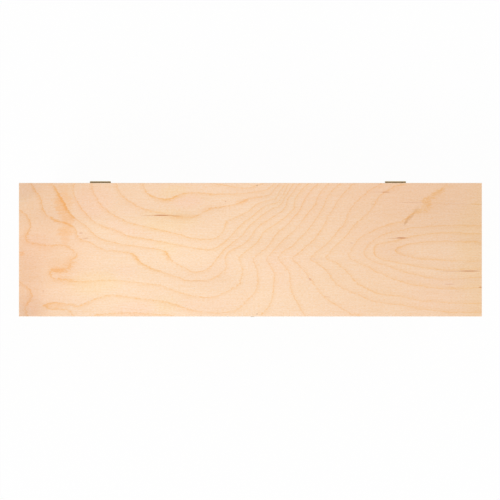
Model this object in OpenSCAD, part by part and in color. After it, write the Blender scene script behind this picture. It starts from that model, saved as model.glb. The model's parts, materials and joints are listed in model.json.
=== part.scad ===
// Hinged wooden wine box for one bottle: plywood boards, finger-jointed corners, two small
// surface hinges at the back and a swing hook at the front.
// Millimetres. +X runs along the box, -Y is its front, +Z is up. The origin is the middle of
// the underside.

/* [Box] */
// Length of the box, outside
box_length = 350; // [300:5:420]
// Width of the box, outside
box_width = 101; // [95:1:130]
// Height of the closed box, outside
box_height = 100; // [90:1:140]
// Height of the lid, its panel included
lid_height = 20; // [18:1:30]
// Thickness of the four walls
wall_thick = 6; // [5.5:0.5:9]
// Thickness of the top and bottom panels
panel_thick = 4; // [3:0.5:6]
// Flat that eases the outer edges of both panels
edge_ease = 0.5; // [0.2:0.1:1]
// Gap that the saw leaves between lid and base
saw_gap = 0.3; // [0.2:0.1:0.6]

/* [Finger joints] */
// Height of one finger; the fingers share each wall evenly
finger_height = 8.4; // [6:0.2:12]

/* [Brads] */
// Diameter of the brads that tack the panels
brad_d = 1; // [0.8:0.1:1.4]
// Length of a brad
brad_length = 12; // [10:1:14]
// Distance from the long edge of a panel to a brad
brad_inset = 2; // [1.8:0.1:3]
// Distance of the brads from the middle of the box, along it
brad_offset = 5; // [-20:1:20]
// Depth that a brad is punched below the face
brad_sink = 0.2; // [0.1:0.1:0.5]

/* [Hinges] */
// Length of a hinge along the box
hinge_length = 16; // [14:0.5:24]
// Width of one leaf, from the hinge's axis to its edge
leaf_width = 6.5; // [5.5:0.1:9]
// Thickness of the hinge's sheet
leaf_thick = 0.5; // [0.4:0.05:0.8]
// Radius of the leaves' outer corners
leaf_corner = 1; // [0.4:0.1:1.6]
// Length of the middle knuckle
middle_knuckle = 10; // [7:0.5:11]
// Gap between neighbouring knuckles
knuckle_gap = 0.2; // [0.1:0.05:0.4]
// Diameter of the hinge pin
pin_d = 1; // [0.8:0.05:1.3]
// Distance from the left end of the box to the middle of the left hinge
hinge_inset_left = 58.5; // [30:0.5:100]
// Distance from the right end of the box to the middle of the right hinge
hinge_inset_right = 61.5; // [30:0.5:100]
// Distance between the two screws of a leaf
leaf_screws = 9.2; // [7:0.2:10]

/* [Screws] */
// Diameter of the screws' shanks
screw_d = 1.4; // [1.2:0.1:1.8]
// Diameter of the screws' heads
screw_head_d = 2.6; // [2.2:0.1:3]
// Length of a screw, its head included
screw_length = 5; // [4:0.5:5.5]

/* [Clasp] */
// Distance from the hook's pivot to the post that it catches
hook_reach = 18; // [16:0.5:20]
// Lean of the closed hook past the upright
hook_lean = 12; // [0:1:20]
// Thickness of the hook
hook_thick = 0.7; // [0.6:0.1:1.2]
// Width of the hook's arm
hook_arm = 3; // [2.4:0.2:4.4]
// Height of the post above the joint between lid and base
post_rise = 4.5; // [4.4:0.1:7]
// Length of both clasp plates
plate_length = 15; // [14:0.5:20]
// Height of both clasp plates
plate_height = 6; // [5.6:0.2:7]
// Thickness of both clasp plates
plate_thick = 0.5; // [0.4:0.1:0.9]
// Diameter of the rivet's and the post's necks
neck_d = 1.8; // [1.6:0.1:2.2]

/* [Hidden] */
$fn = 48;

wood = [0.93, 0.79, 0.62];
wood_wall = [0.9, 0.75, 0.57];
brass = [0.5, 0.4, 0.24];
steel = [0.55, 0.53, 0.5];

past = 1; // how far a cut runs past the face that it opens

joint_z = box_height - lid_height; // the plane where lid and base meet
base_wall_z = panel_thick;
base_wall_h = joint_z - saw_gap / 2 - base_wall_z;
lid_rail_z = joint_z + saw_gap / 2;
lid_rail_h = box_height - panel_thick - lid_rail_z;

// Fingers are counted from the bottom of the base up through the lid, so that the pattern
// runs on across the saw cut as it does on a box that was glued whole and sawn open.
function finger_count(h) = max(2, round(h / finger_height));
base_fingers = finger_count(base_wall_h);

pin_play = 0.05; // running clearance round the pin, in the lid's knuckle
knuckle_r = pin_d / 2 + pin_play + leaf_thick;
knuckle_stand = 0.05; // the knuckles' clearance from the wood
axis_out = knuckle_r + knuckle_stand; // the hinge's axis, out from the back wall
knuckle_clear = 0.2; // between a knuckle and the other leaf's notch
roll_slit = 0.15; // between a knuckle's rolled end and its own leaf
leaf_screw_y = (leaf_width + knuckle_r + knuckle_clear) / 2;
pin_dome = 0.15; // how far the pin's ends stand out
hinge_left_x = -box_length / 2 + hinge_inset_left;
hinge_right_x = box_length / 2 - hinge_inset_right;

screw_head_h = (screw_head_d - screw_d) / 2; // the countersink is a right angle
screw_tip = screw_d;
slot_width = 0.4;
slot_depth = 0.25;
slot_turn = 20; // angle of the first screw's slot
slot_step = 55; // turn from one screw's slot to the next

hook_lift = 0.1; // between the plates and the hook
head_lift = 0.1; // between the hook and the heads that keep it
head_h = 0.5; // thickness of the rivet's and the post's heads
head_rim = 0.8; // the heads' reach past their necks
head_r = neck_d / 2 + head_rim;
hook_play = 0.05; // running clearance round the rivet
slot_play = 0.2; // clearance round the post in the hook's mouth
eye_rim = 2; // metal round the hook's eye
end_rim = 2.4; // metal round the hook's mouth
hook_eye_r = neck_d / 2 + eye_rim;
hook_end_r = neck_d / 2 + end_rim;
thumb_r = 1.7; // the round tab that a finger pushes
plate_screws = plate_length - plate_height; // between the screws of one plate
pivot_x = -hook_reach * sin(hook_lean) / 2;
post_x = -pivot_x;
post_z = joint_z + post_rise;
pivot_z = post_z - hook_reach * cos(hook_lean);

// ---- Boards ----

// The room for the fingers that a board doesn't own, round a corner of the box. Long boards
// own the even fingers, end boards the odd ones. A cut reaches that far along X and Y.
module finger_cuts(z, h, first, odd, reach) {
    n = finger_count(h);
    step = h / n;
    for (k = [0 : n - 1])
        if ((first + k) % 2 == odd) {
            below = k == 0 ? past : 0;
            above = k == n - 1 ? past : 0;
            translate([-reach[0], -reach[1], z + k * step - below])
                cube([reach[0] * 2, reach[1] * 2, step + below + above]);
        }
}

// A wall along the box: side -1 is the front, 1 the back.
module long_board(side, z, h, first) {
    difference() {
        translate([-box_length / 2, side > 0 ? box_width / 2 - wall_thick : -box_width / 2, z])
            cube([box_length, wall_thick, h]);
        for (end = [-1, 1])
            translate([end * box_length / 2, side * box_width / 2, 0])
                finger_cuts(z, h, first, 1, [wall_thick, wall_thick + past]);
    }
}

// A wall across the box: side -1 is the left end, 1 the right.
module end_board(side, z, h, first) {
    difference() {
        translate([side > 0 ? box_length / 2 - wall_thick : -box_length / 2, -box_width / 2, z])
            cube([wall_thick, box_width, h]);
        for (end = [-1, 1])
            translate([side * box_length / 2, end * box_width / 2, 0])
                finger_cuts(z, h, first, 0, [wall_thick + past, wall_thick]);
    }
}

// A rectangle with its two far corners eased.
module eased_section(w, h) {
    polygon([
        [-w / 2, 0], [w / 2, 0], [w / 2, h - edge_ease], [w / 2 - edge_ease, h],
        [-w / 2 + edge_ease, h], [-w / 2, h - edge_ease]
    ]);
}

// A panel with its face up, its upper edges eased and its underside on Z = 0.
module panel() {
    intersection() {
        translate([-box_length / 2, 0, 0])
            rotate([90, 0, 90])
                linear_extrude(box_length) eased_section(box_width, panel_thick);
        translate([0, box_width / 2, 0])
            rotate([90, 0, 0])
                linear_extrude(box_width) eased_section(box_length, panel_thick);
    }
}

// ---- Fasteners ----

// A brad that hangs from Z = 0: a flat top, a parallel shank and a short point.
module brad() {
    translate([0, 0, -brad_length])
        cylinder(h = brad_d, r1 = brad_d / 8, r2 = brad_d / 2);
    translate([0, 0, -brad_length + brad_d])
        cylinder(h = brad_length - brad_d, r = brad_d / 2);
}

// Both brads of a panel whose face is at Z = 0.
module brad_pair() {
    for (side = [-1, 1])
        translate([brad_offset, side * (box_width / 2 - brad_inset), -brad_sink]) brad();
}

// The room that the brads need, up to the face.
module brad_holes() {
    brad_pair();
    for (side = [-1, 1])
        translate([brad_offset, side * (box_width / 2 - brad_inset), -brad_length / 4])
            cylinder(h = brad_length / 4 + past, r = brad_d / 2);
}

module above_panel() {
    translate([0, 0, box_height]) children();
}

module below_panel() {
    mirror([0, 0, 1]) children();
}

// A countersunk screw that hangs from Z = 0, without its slot.
module screw_body() {
    translate([0, 0, -screw_head_h])
        cylinder(h = screw_head_h, r1 = screw_d / 2, r2 = screw_head_d / 2);
    translate([0, 0, -screw_length + screw_tip])
        cylinder(h = screw_length - screw_tip - screw_head_h, r = screw_d / 2);
    translate([0, 0, -screw_length])
        cylinder(h = screw_tip, r1 = screw_d / 10, r2 = screw_d / 2);
}

// The same screw with its slot turned to an angle.
module screw(turn) {
    difference() {
        screw_body();
        rotate([0, 0, turn])
            translate([-screw_head_d, -slot_width / 2, -slot_depth])
                cube([screw_head_d * 2, slot_width, slot_depth + past]);
    }
}

// ---- Places ----

// On the back wall: x runs to the left end of the box, y up, z out of the wall.
module on_back(x, z) {
    translate([x, box_width / 2, z]) rotate([90, 0, 180]) children();
}

// On the front wall: x runs to the right end of the box, y up, z out of the wall.
module on_front(x, z) {
    translate([x, -box_width / 2, z]) rotate([90, 0, 0]) children();
}

module at_hinges() {
    for (x = [hinge_left_x, hinge_right_x]) on_back(x, joint_z) children();
}

// The screws of a hinge's leaf: up is 1 on the lid and -1 on the base.
module at_leaf_screws(up) {
    for (end = [-1, 1])
        translate([end * leaf_screws / 2, up * leaf_screw_y, leaf_thick]) children();
}

module at_plate_screws() {
    for (end = [-1, 1]) translate([end * plate_screws / 2, 0, plate_thick]) children();
}

// ---- Hinges ----

// A flat leaf that hangs from the axis, with its two lower corners rounded.
module leaf_plate() {
    linear_extrude(leaf_thick)
        difference() {
            translate([-hinge_length / 2, -leaf_width]) square([hinge_length, leaf_width]);
            for (end = [-1, 1])
                translate([end * hinge_length / 2, -leaf_width])
                    difference() {
                        square(leaf_corner * 2, center = true);
                        translate([-end * leaf_corner, leaf_corner]) circle(leaf_corner);
                    }
        }
}

// A rod along the hinge's axis, from x = from to x = to.
module axis_rod(from, to, r) {
    translate([from, 0, axis_out]) rotate([0, 90, 0]) cylinder(h = to - from, r = r);
}

// A leaf with sheet rolled into knuckles over the given spans, and notches between them.
module rolled_leaf(knuckles, notches, bore_r) {
    difference() {
        union() {
            leaf_plate();
            for (span = knuckles) axis_rod(span[0], span[1], knuckle_r);
        }
        for (span = notches)
            translate([span[0], -knuckle_r - knuckle_clear, -past])
                cube([span[1] - span[0], knuckle_r + knuckle_clear + past, leaf_thick + past * 2]);
        axis_rod(-hinge_length, hinge_length, bore_r);
        for (span = knuckles)
            translate([span[0] - knuckle_gap / 2, -knuckle_r - past, leaf_thick])
                cube([span[1] - span[0] + knuckle_gap, knuckle_r + past - roll_slit, roll_slit]);
        at_leaf_screws(-1) screw_body();
    }
}

half = hinge_length / 2;
inner = middle_knuckle / 2;
outer = inner + knuckle_gap;

// The base's leaf holds the pin tightly in its two outer knuckles.
module base_leaf() {
    color(brass)
        rolled_leaf([[-half, -outer], [outer, half]], [[-outer, outer]], pin_d / 2);
}

// The lid's leaf turns on the pin with its middle knuckle.
module lid_leaf() {
    color(brass)
        mirror([0, 1, 0])
            rolled_leaf(
                [[-inner, inner]],
                [[-half - past, -inner], [inner, half + past]],
                pin_d / 2 + pin_play
            );
}

// The pin, with the low domes that its ends are peened to.
module hinge_pin() {
    color(brass) {
        axis_rod(-half, half, pin_d / 2);
        for (end = [0, 1])
            mirror([end, 0, 0])
                translate([half, 0, axis_out])
                    rotate([0, 90, 0])
                        cylinder(h = pin_dome, r1 = pin_d / 2, r2 = pin_d / 3);
    }
}

// The four screws of both hinges' leaves, their slots left as the driver left them.
module hinge_screws(up) {
    color(brass)
        for (x = [hinge_left_x, hinge_right_x], end = [-1, 1])
            on_back(x, joint_z)
                translate([end * leaf_screws / 2, up * leaf_screw_y, leaf_thick])
                    screw(slot_turn + slot_step * (sign(x) * up + end));
}

// ---- Clasp ----

// An oblong plate with round ends, holes for its two screws and one for its rivet.
module clasp_plate() {
    difference() {
        union() {
            translate([-plate_screws / 2, -plate_height / 2, 0])
                cube([plate_screws, plate_height, plate_thick]);
            for (end = [-1, 1])
                translate([end * plate_screws / 2, 0, 0])
                    cylinder(h = plate_thick, r = plate_height / 2);
        }
        at_plate_screws() screw_body();
        translate([0, 0, -past]) cylinder(h = plate_thick + past * 2, r = neck_d / 2);
    }
}

// A neck that starts at the wood, goes through its plate and ends in a low, eased head.
module headed_stud() {
    neck_h = plate_thick + hook_lift + hook_thick + head_lift;
    cylinder(h = neck_h, r = neck_d / 2);
    translate([0, 0, neck_h]) cylinder(h = head_h / 2, r = head_r);
    translate([0, 0, neck_h + head_h / 2])
        cylinder(h = head_h / 2, r1 = head_r, r2 = head_r - head_h / 2);
}

// The hook, pivot at the origin and pointing up, with its mouth open to the right: an eye, an
// arm, a round end cut by a slot that is curved about the pivot, and a thumb tab.
module hook_shape() {
    slot_r = neck_d / 2 + slot_play;
    difference() {
        union() {
            cylinder(h = hook_thick, r = hook_eye_r);
            translate([-hook_arm / 2, 0, 0]) cube([hook_arm, hook_reach, hook_thick]);
            translate([0, hook_reach, 0]) cylinder(h = hook_thick, r = hook_end_r);
            translate([-thumb_r / 2, hook_reach + hook_end_r, 0])
                cylinder(h = hook_thick, r = thumb_r);
        }
        translate([0, 0, -past])
            cylinder(h = hook_thick + past * 2, r = neck_d / 2 + hook_play);
        translate([0, hook_reach, -past]) cylinder(h = hook_thick + past * 2, r = slot_r);
        intersection() {
            difference() {
                translate([0, 0, -past])
                    cylinder(h = hook_thick + past * 2, r = hook_reach + slot_r);
                translate([0, 0, -past * 2])
                    cylinder(h = hook_thick + past * 4, r = hook_reach - slot_r);
            }
            translate([0, 0, -past])
                cube([hook_end_r * 2, hook_reach * 2, hook_thick + past * 2]);
        }
    }
}

module clasp_screws(x, z, turn) {
    color(brass)
        for (end = [-1, 1])
            on_front(x, z)
                translate([end * plate_screws / 2, 0, plate_thick])
                    screw(turn + slot_step * end);
}

// ---- Base ----

module base_panel() {
    color(wood)
        difference() {
            translate([0, 0, panel_thick]) mirror([0, 0, 1]) panel();
            below_panel() brad_holes();
        }
}

module base_front_wall() {
    color(wood_wall)
        difference() {
            long_board(-1, base_wall_z, base_wall_h, 0);
            below_panel() brad_pair();
            on_front(pivot_x, pivot_z) at_plate_screws() screw_body();
        }
}

module base_back_wall() {
    color(wood_wall)
        difference() {
            long_board(1, base_wall_z, base_wall_h, 0);
            below_panel() brad_pair();
            at_hinges() at_leaf_screws(-1) screw_body();
        }
}

module base_end_wall(side) {
    color(wood_wall) end_board(side, base_wall_z, base_wall_h, 0);
}

module base_brads() {
    color(steel) below_panel() brad_pair();
}

module clasp_pivot_plate() {
    color(brass) on_front(pivot_x, pivot_z) clasp_plate();
}

module clasp_rivet() {
    color(brass) on_front(pivot_x, pivot_z) headed_stud();
}

// The hook hangs open at rest.
module clasp_hook() {
    color(brass)
        on_front(pivot_x, pivot_z)
            translate([0, 0, plate_thick + hook_lift])
                rotate([0, 0, 180]) hook_shape();
}

// ---- Lid ----

module lid_panel() {
    color(wood)
        difference() {
            translate([0, 0, box_height - panel_thick]) panel();
            above_panel() brad_holes();
        }
}

module lid_front_rail() {
    color(wood_wall)
        difference() {
            long_board(-1, lid_rail_z, lid_rail_h, base_fingers);
            above_panel() brad_pair();
            on_front(post_x, post_z) at_plate_screws() screw_body();
        }
}

module lid_back_rail() {
    color(wood_wall)
        difference() {
            long_board(1, lid_rail_z, lid_rail_h, base_fingers);
            above_panel() brad_pair();
            at_hinges() at_leaf_screws(1) screw_body();
        }
}

module lid_end_rail(side) {
    color(wood_wall) end_board(side, lid_rail_z, lid_rail_h, base_fingers);
}

module lid_brads() {
    color(steel) above_panel() brad_pair();
}

module clasp_strike_plate() {
    color(brass) on_front(post_x, post_z) clasp_plate();
}

module clasp_post() {
    color(brass) on_front(post_x, post_z) headed_stud();
}

base_panel();
base_front_wall();
base_back_wall();
base_end_wall(-1);  // base_left_wall
base_end_wall(1);  // base_right_wall
base_brads();
on_back(hinge_left_x, joint_z) base_leaf();  // hinge_left_base_leaf
on_back(hinge_right_x, joint_z) base_leaf();  // hinge_right_base_leaf
on_back(hinge_left_x, joint_z) hinge_pin();  // hinge_left_pin
on_back(hinge_right_x, joint_z) hinge_pin();  // hinge_right_pin
hinge_screws(-1);  // hinge_base_screws
clasp_pivot_plate();
clasp_rivet();
clasp_screws(pivot_x, pivot_z, slot_turn);  // clasp_base_screws
clasp_hook();
lid_panel();
lid_front_rail();
lid_back_rail();
lid_end_rail(-1);  // lid_left_rail
lid_end_rail(1);  // lid_right_rail
lid_brads();
on_back(hinge_left_x, joint_z) lid_leaf();  // hinge_left_lid_leaf
on_back(hinge_right_x, joint_z) lid_leaf();  // hinge_right_lid_leaf
hinge_screws(1);  // hinge_lid_screws
clasp_strike_plate();
clasp_post();
clasp_screws(post_x, post_z, -slot_turn);  // clasp_lid_screws
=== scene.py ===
import json
import math
from functools import cached_property

import bmesh
import bpy
import numpy as np
from bpy.props import FloatProperty, FloatVectorProperty, PointerProperty
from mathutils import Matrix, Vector


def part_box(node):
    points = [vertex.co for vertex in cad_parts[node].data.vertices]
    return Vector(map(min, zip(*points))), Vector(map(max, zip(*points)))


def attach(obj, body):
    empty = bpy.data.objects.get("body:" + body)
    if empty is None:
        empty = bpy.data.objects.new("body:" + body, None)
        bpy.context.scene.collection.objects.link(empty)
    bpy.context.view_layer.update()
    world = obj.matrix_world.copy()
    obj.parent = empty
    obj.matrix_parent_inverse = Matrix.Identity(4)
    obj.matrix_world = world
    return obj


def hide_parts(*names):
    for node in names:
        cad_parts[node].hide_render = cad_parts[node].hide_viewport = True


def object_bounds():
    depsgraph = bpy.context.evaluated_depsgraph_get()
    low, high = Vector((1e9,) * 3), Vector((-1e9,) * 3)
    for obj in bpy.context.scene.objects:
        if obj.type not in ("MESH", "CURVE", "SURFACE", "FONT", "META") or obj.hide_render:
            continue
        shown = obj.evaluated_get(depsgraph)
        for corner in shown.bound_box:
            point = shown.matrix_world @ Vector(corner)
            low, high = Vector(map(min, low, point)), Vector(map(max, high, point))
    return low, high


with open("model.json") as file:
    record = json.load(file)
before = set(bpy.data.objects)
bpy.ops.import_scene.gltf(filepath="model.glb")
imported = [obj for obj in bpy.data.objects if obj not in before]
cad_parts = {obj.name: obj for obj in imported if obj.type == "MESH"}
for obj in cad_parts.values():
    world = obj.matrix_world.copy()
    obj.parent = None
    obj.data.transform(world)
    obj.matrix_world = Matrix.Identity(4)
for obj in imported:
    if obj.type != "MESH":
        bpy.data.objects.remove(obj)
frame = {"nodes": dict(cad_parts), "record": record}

CAD_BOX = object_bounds()

bl_info = {
    "name": "Wooden wine box",
    "version": (1, 0, 0),
    "blender": (4, 5, 0),
    "location": "View3D > Sidebar > Wine box",
    "description": "Finishes a hinged plywood wine box: veneer, boards, brass and its stage",
    "category": "Object",
}

MM = 0.001  # one millimetre in scene units
SAME_PLACE = 1e-6  # two vertices closer than this, in metres, are one


def paint(red, green, blue):
    """A linear colour from the 0 to 255 values that it shows on screen."""
    def linear(value):
        share = value / 255
        return share / 12.92 if share <= 0.04045 else ((share + 0.055) / 1.055) ** 2.4
    return linear(red), linear(green), linear(blue)


# ---- Figure of the lid's veneer ----

# Where the growth lines of the rotary-cut face run, in mm from the lid's middle, +Y to the
# hinges. A level is a layer of the log: the knife goes deeper towards the low levels.
GROWTH_LINES = (
    (0, ((-16, 48), (-3, 46), (9, 50))),
    (1, ((-81, 49), (-79, 44), (-74, 40), (-68, 38), (-61, 38), (-55, 41), (-42, 43),
         (-30, 42), (-18, 42), (-8, 42), (0, 43), (7, 44), (15, 47), (18, 50))),
    (2, ((-101, 49), (-99, 43), (-95, 39), (-89, 35), (-77, 30), (-68, 28), (-60, 26),
         (-53, 25), (-44, 25), (-38, 27), (-30, 31), (-17, 33), (0, 39), (14, 41), (18, 46),
         (22, 50))),
    (3, ((-120, 50), (-119, 44), (-117, 40), (-114, 35), (-110, 31), (-101, 25), (-95, 22),
         (-89, 20), (-83, 18), (-73, 16), (-64, 14), (-56, 12), (-46, 9), (-38, 8),
         (-30, 8), (-24, 10), (-20, 15), (-18, 21), (-12, 24), (0, 30), (6, 35), (19, 38),
         (22, 44), (26, 49))),
    (4, ((-133, 50), (-134, 44), (-132, 38), (-128, 32), (-123, 26), (-118, 21), (-112, 18),
         (-105, 16), (-98, 13), (-92, 10), (-84, 9), (-77, 8), (-70, 6.5), (-60, 4.5),
         (-51, 3), (-44, 1.5), (-37, 0.5), (-32, 0), (-25, 2), (-19, 6), (-12, 13), (-7, 19),
         (0, 24), (7, 30), (16, 35), (25, 41), (28, 49))),
    (5, ((-150, 50), (-146, 43), (-141, 35), (-134, 25), (-130, 22), (-122, 16), (-120, 13),
         (-113, 8), (-105, 6), (-97, 4), (-89, 3), (-82, 2), (-73, 1), (-65, -1), (-62, -5),
         (-60, -8), (-53, -12), (-47, -15), (-42, -17), (-36, -16), (-30, -13), (-27, -9),
         (-26, -8), (-22, -3), (-17, 2), (-11, 7), (-5, 12), (0, 19), (7, 25), (17, 31),
         (26, 40), (32, 49))),
    (6, ((-166, 50), (-163, 45), (-160, 41), (-158, 36), (-157, 31), (-154, 26), (-146, 22),
         (-139, 20), (-133, 17), (-132, 13), (-130, 8), (-123, 6), (-118, 4), (-112, 0.5),
         (-104, -0.5), (-98, -1.5), (-90, -3), (-87, -5), (-85, -8), (-81, -11), (-73, -15),
         (-64, -18), (-55, -21), (-47, -23), (-40, -23), (-32, -23), (-25, -20), (-20, -16),
         (-18, -11), (-19, -6), (-17, -2), (-5, 4), (0, 9), (4, 15), (13, 22),
         (25, 30), (28, 38), (36, 49))),
    (7, ((-175, 30), (-171, 28), (-168, 25), (-166, 18), (-169, 13), (-170.5, 9),
         (-168.5, 6), (-163, 4.5), (-154, 3), (-146, 3), (-139, 2.5), (-135, 0.5),
         (-131, -3), (-133, -6), (-135.5, -8), (-136, -13), (-139, -15.5), (-146, -16.5),
         (-151, -18), (-150, -20.5), (-146, -22), (-139, -23), (-133, -24), (-123, -24),
         (-112, -23.5), (-102, -23), (-95, -24), (-86, -25), (-79, -26), (-70, -27),
         (-63, -29), (-56, -31.5), (-49, -34), (-40, -35.5), (-31, -36), (-25, -35),
         (-15, -30), (-8.5, -26), (-7, -21), (-6, -15), (-7, -10), (-9, -6), (-5, -2.5),
         (1, 2), (10, 13), (27, 25), (33, 31), (35, 40), (43, 49))),
    (8, ((-134, -51), (-135.5, -47.5), (-139, -44.5), (-146, -43.8), (-152, -43.8),
         (-156.5, -42.7), (-152, -41.2), (-146, -40.8), (-139, -41.3), (-133, -42.4),
         (-129, -42.3), (-124, -40.4), (-117, -37.5), (-109, -35), (-103, -34.5),
         (-95, -35.5), (-86, -36.5), (-78, -37.5), (-67, -39), (-59, -41), (-51, -43.5),
         (-45, -45.5), (-37, -47), (-24, -48), (-16, -47), (-9, -45), (-4, -40), (0, -36),
         (4, -31), (5.5, -23), (5, -15), (3, -10), (1.5, -7), (5, -4), (12, 1), (16, 6),
         (21, 13), (27, 18), (33, 25), (38, 32), (41, 38), (46, 45), (50, 49))),
    (8, ((-175, -24), (-171, -26.5), (-167, -30), (-165, -34), (-167.5, -39), (-170, -45),
         (-168, -51))),
    (7.75, ((-161, -45.5), (-151, -47), (-143, -48), (-151, -38.5), (-142, -38.5))),
    (8.2, ((-149, -42.4), (-142, -42.5), (-135, -43.6))),
    (9, ((-118, -50), (-112, -49), (-99, -48), (-84, -48), (-69, -49), (-59, -50), (8, -49),
         (12.5, -45), (15.5, -40), (17, -31), (18, -23), (17, -15), (14, -10), (12, -6.5),
         (17, -1), (22, 4), (29, 11), (37, 19), (43, 27), (49, 34), (52, 42), (58, 49))),
    (10, ((40, -48), (36, -41), (32.5, -35), (30.5, -28), (30, -21), (29, -16), (24, -10),
          (21, -6.5), (25.5, -1), (31, 2), (37, 8), (43, 14.5), (49.5, 23), (54.5, 31),
          (57, 38), (62, 45), (67, 49))),
    (11, ((84, -50), (77, -49), (70, -45), (62, -40), (55, -35), (50, -28), (44.5, -21),
          (40, -15), (34.5, -10), (31, -7), (34.5, -4), (39.5, 0), (46, 6), (51, 12),
          (54, 16), (56.5, 20), (58.5, 25), (62, 30), (65, 35), (70, 42), (75, 47),
          (78, 50))),
    (11.4, ((96, -50), (125, -50.5), (165, -52))),
    (12, ((174, -47), (158, -47), (144, -46.5), (133, -45), (124, -43.5), (114, -41.5),
          (101, -40), (90, -37.5), (82, -34), (73.5, -31), (67, -27), (62, -22.5),
          (59, -17.5), (55, -13), (51, -10.5), (47, -8.5), (44, -7), (47, -5), (53, 0.5),
          (58.5, 5), (62, 9), (65, 13), (71, 19), (73, 24), (73.5, 27), (76, 31), (80, 36),
          (85, 41), (89, 44), (96, 48), (99, 50))),
    (13, ((174, -40.5), (164, -40.5), (154, -40.5), (143, -39.5), (130, -39), (120, -37),
          (110, -35), (100, -34), (90, -31), (82, -26.5), (75.5, -20), (71, -14.5),
          (65, -10), (60, -8), (56, -6.5), (60, -2.5), (62, 1), (70, 8), (77, 16.5),
          (85, 24), (91, 30), (92.5, 32), (97, 40), (101, 43.5), (110, 48), (116, 50))),
    (14, ((174, -28.5), (164, -29), (151, -29), (140, -28.5), (130, -27), (121, -26),
          (114, -24), (105, -21), (96, -17), (89, -13), (82, -10), (76, -7), (74, -5.5),
          (76, -1), (78, 3), (81, 7), (86, 11), (93, 14.5), (101, 17.5), (109, 20),
          (114, 21), (117.5, 23), (121, 26), (126, 28), (132, 28), (134.5, 30),
          (135, 33), (133.5, 36), (130, 38), (134, 40), (140, 43.5), (145, 46),
          (148, 49.5), (150, 54))),
    (14.4, ((160, 48), (173, 40))),
    (15, ((174, -20.5), (168, -21), (157, -22), (145, -22), (134, -21), (123, -18.5),
          (114, -16), (107.5, -13.5), (101, -11), (93.5, -9), (87, -5), (86, -2),
          (88.5, 2.5), (92.5, 6.5), (100, 11.5), (107.5, 14), (119, 16), (130, 17),
          (141.5, 18), (151.5, 18.5), (163, 18), (174, 18))),
    (16, ((174, -15), (159, -15), (149, -15), (140, -14.5), (131, -13.5), (123, -12),
          (115, -10.5), (107.5, -9), (101, -8), (96, -5.5), (93.5, -2.5), (93.5, 0),
          (94, 3), (97.5, 4.5), (101, 5), (108, 6.5), (114, 8), (120, 9.5), (128, 11),
          (135, 12), (145, 13), (157, 13), (174, 12.5))),
    (17, ((174, -8), (163, -8.5), (151.5, -8.5), (141.5, -7.5), (133, -7), (124, -6),
          (118, -4.5), (114, -3), (110, 0), (112, 2), (118, 4), (126, 5), (134, 6),
          (143, 6.5), (153, 6.5), (164, 6), (174, 5))),
    (17.7, ((128, -1), (150, -1), (173, -1))),
)

# Marks in that face: x, y, half length and half height in mm, then slope and strength.
RESIN_STREAKS = (
    (-67, 26, 8, 0.6, -0.01, 1.0),
    (-73, 25.8, 12, 0.45, 0.02, 0.4),
    (-58, 25.7, 7, 0.45, -0.03, 0.35),
    (114, 8.9, 5, 0.6, 0, 1.0),
    (112, 8.7, 12, 0.4, 0, 0.4),
    (165, -16.1, 10, 0.5, 0, 0.95),
    (154, -16.2, 14, 0.4, 0, 0.35),
    (102, 43.5, 4.5, 0.5, 0, 0.6),
    (99, 43.6, 10, 0.4, 0, 0.25),
    (-128, 12.6, 2, 0.5, 0, 0.5),
    (-124.5, 8.6, 3, 0.45, 0.08, 0.4),
    (122, 35.7, 13, 0.4, 0, 0.25),
    (152, 34.6, 22, 0.35, 0, 0.16),
    (150.5, -26, 5, 0.45, 0, 0.45),
    (-39, -23.7, 12, 0.35, -0.02, 0.22),
    (49, -7, 11, 0.35, 0, 0.2),
    (76.5, 5, 1.6, 0.4, 0, 0.5),
    (174, -28.3, 2, 0.5, 0, 0.7),
    (45, -22.3, 1.2, 1.3, -0.4, 0.45),
    (58, -35.5, 3.5, 0.4, -0.2, 0.25),
    (-18.8, 36.5, 0.7, 0.6, 0, 0.5),
    (-156.5, -31.5, 0.5, 1.4, 0, 0.3),
    (-158, -24.5, 0.6, 0.5, 0, 0.3),
)
BOLD_STRETCHES = (
    (-143, 37, 7, 9, -1.6, 1.0),
    (-137, 28, 5, 5, -1.2, 0.7),
    (-147, 23.2, 6, 5, -0.8, 0.9),
    (-138.5, 18.9, 7, 4, -0.2, 0.6),
    (-160, 38, 6, 12, -1.5, 0.35),
    (-168, 18, 6, 10, 0, 0.2),
    (-148, -17.5, 8, 5, 0, 0.3),
    (-141, -22.8, 12, 4, 0, 0.4),
    (-150, -42.7, 12, 5, 0, 0.25),
    (-165, -38, 6, 12, 0, 0.25),
    (-74, 44, 6, 7, -0.5, 0.7),
    (-60, 38, 14, 4, 0.05, 0.7),
    (-63, -4, 4, 6, 0, 0.45),
    (-87, -6, 5, 5, -0.6, 0.45),
    (-76, -13, 9, 5, -0.35, 0.4),
    (140, 42, 8, 4, 0.6, 0.35),
    (131, 30.5, 7, 5, 0, 0.2),
    (120, 24, 5, 4, 1.0, 0.7),
    (112, 0, 4, 4, 0, 0.35),
    (94.5, 0, 3, 5, 0, 0.3),
    (-18.5, 19, 3, 4, 0, 0.3),
    (-32, 31, 5, 3, 0.3, 0.25),
    (-6, 36, 7, 4, 0.2, 0.2),
)
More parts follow.
